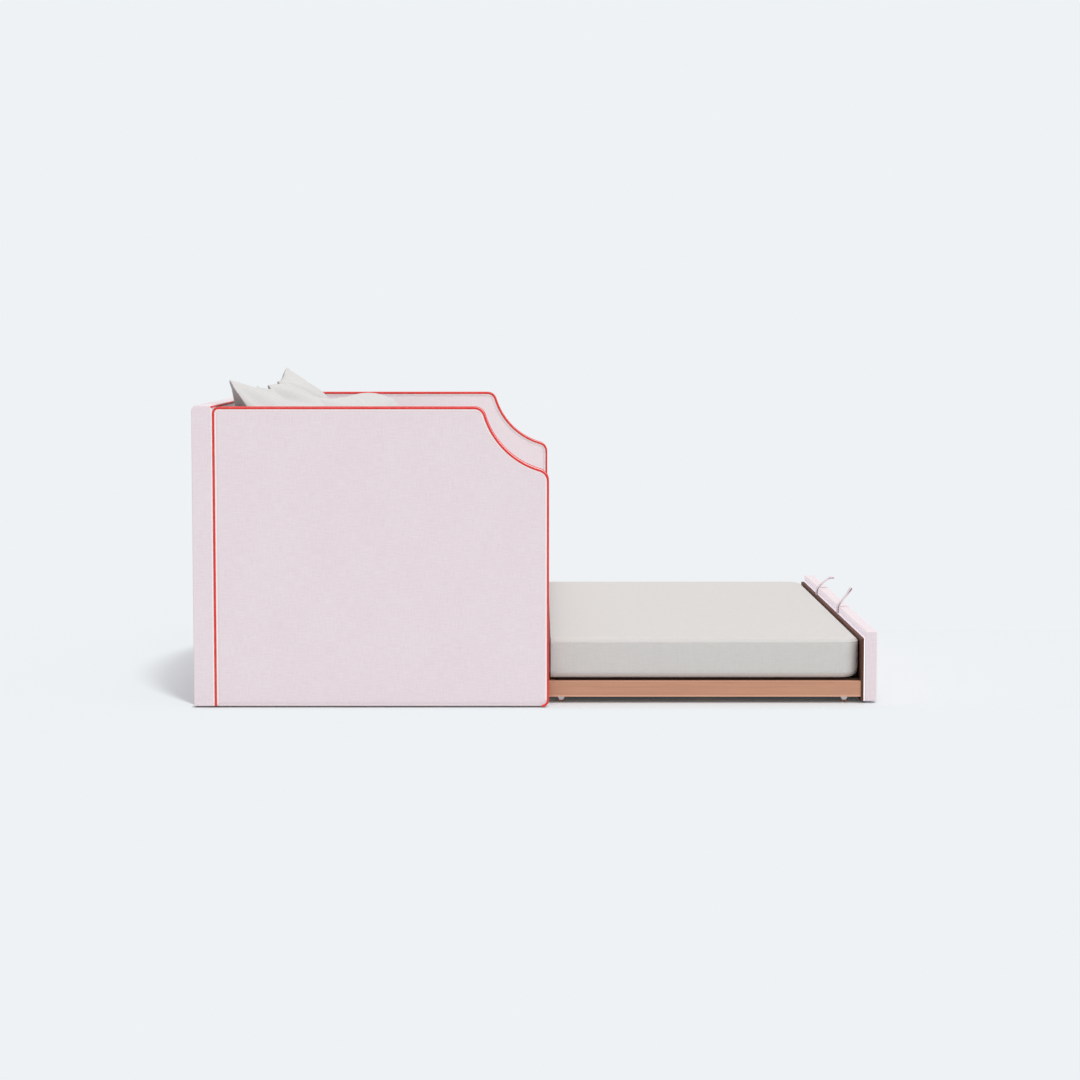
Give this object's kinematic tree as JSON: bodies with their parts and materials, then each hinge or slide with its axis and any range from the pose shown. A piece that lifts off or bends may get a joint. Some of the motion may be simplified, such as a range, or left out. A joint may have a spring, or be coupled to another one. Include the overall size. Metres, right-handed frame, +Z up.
{
  "type": "trundle daybed",
  "caption": "Upholstered daybed with scooped arms, a padded back and a trundle bed on fixed casters that rolls out from under its deck.",
  "frame": {"origin": "on the floor, under the middle of the box round the whole object with its trundle out", "axes": "+X along the bed's length to its right end, +Y to the back, +Z up; the trundle rolls out towards -Y"},
  "size_m": [2.1024, 2.153, 1.022],
  "materials": {
    "linen": "pale pink linen",
    "piping": "red corded piping",
    "pillow_linen": "grey-white cotton",
    "sheet": "grey-white sheet",
    "strap": "pale pink webbing",
    "rail_wood": "copper-tan stained wood",
    "board_wood": "dark brown stained board",
    "plywood": "birch plywood",
    "pine": "bare pine",
    "steel": "zinc-plated",
    "nylon": "grey nylon",
    "wheel": "brown nylon"
  },
  "bodies": {
    "daybed": {"left_arm_frame": "pine", "left_arm_skins": "plywood", "left_arm_cover": "linen", "left_arm_outer_piping": "piping", "left_arm_inner_piping": "piping", "right_arm_frame": "pine", "right_arm_skins": "plywood", "right_arm_cover": "linen", "right_arm_outer_piping": "piping", "right_arm_inner_piping": "piping", "back_frame": "pine", "back_skin": "plywood", "back_cover": "linen", "back_piping": "piping", "front_rail_cover": "linen", "front_rail_board": "plywood", "front_ledger": "pine", "rear_ledger": "pine", "deck_slats": "pine", "deck_tapes": "strap", "rail_brackets": "steel", "arm_bolts": "steel", "cross_nuts": "steel", "glides": "nylon", "daybed_mattress": "sheet", "back_pillow_left": "pillow_linen", "back_pillow_middle": "pillow_linen", "back_pillow_right": "pillow_linen", "small_pillow": "pillow_linen"},
    "trundle": {"trundle_panel_cover": "linen", "trundle_panel_board": "plywood", "trundle_inner_board": "board_wood", "pull_strap_left": "strap", "pull_strap_right": "strap", "trundle_left_rail": "rail_wood", "trundle_right_rail": "rail_wood", "trundle_rear_rail": "rail_wood", "trundle_ledgers": "rail_wood", "trundle_beam": "rail_wood", "trundle_slats": "pine", "trundle_mattress": "sheet", "caster_blocks": "rail_wood", "caster_forks": "steel", "caster_axles": "steel"},
    "wheel_left_front": {"caster_wheel_left_front": "wheel"},
    "wheel_left_rear": {"caster_wheel_left_rear": "wheel"},
    "wheel_right_front": {"caster_wheel_right_front": "wheel"},
    "wheel_right_rear": {"caster_wheel_right_rear": "wheel"}
  },
  "joints": [
    {"name": "trundle_slide", "type": "slide", "parent": "daybed", "child": "trundle", "axis": [0, -1, 0], "range_m": [-1.032, 0], "deforming": ["pull_strap_left", "pull_strap_right"]},
    {"name": "wheel_left_front_spin", "type": "hinge", "parent": "trundle", "child": "wheel_left_front", "pos_m": [-0.911, -0.95654, 0.0125], "axis": [1, 0, 0], "continuous": true},
    {"name": "wheel_left_rear_spin", "type": "hinge", "parent": "trundle", "child": "wheel_left_rear", "pos_m": [-0.911, -0.06454, 0.0125], "axis": [1, 0, 0], "continuous": true},
    {"name": "wheel_right_front_spin", "type": "hinge", "parent": "trundle", "child": "wheel_right_front", "pos_m": [0.911, -0.95654, 0.0125], "axis": [1, 0, 0], "continuous": true},
    {"name": "wheel_right_rear_spin", "type": "hinge", "parent": "trundle", "child": "wheel_right_rear", "pos_m": [0.911, -0.06454, 0.0125], "axis": [1, 0, 0], "continuous": true}
  ],
  "couplings": [
    {"joint": "wheel_left_front_spin", "follows": "trundle_slide", "rad_per_m": 80},
    {"joint": "wheel_left_rear_spin", "follows": "trundle_slide", "rad_per_m": 80},
    {"joint": "wheel_right_front_spin", "follows": "trundle_slide", "rad_per_m": 80},
    {"joint": "wheel_right_rear_spin", "follows": "trundle_slide", "rad_per_m": 80}
  ]
}
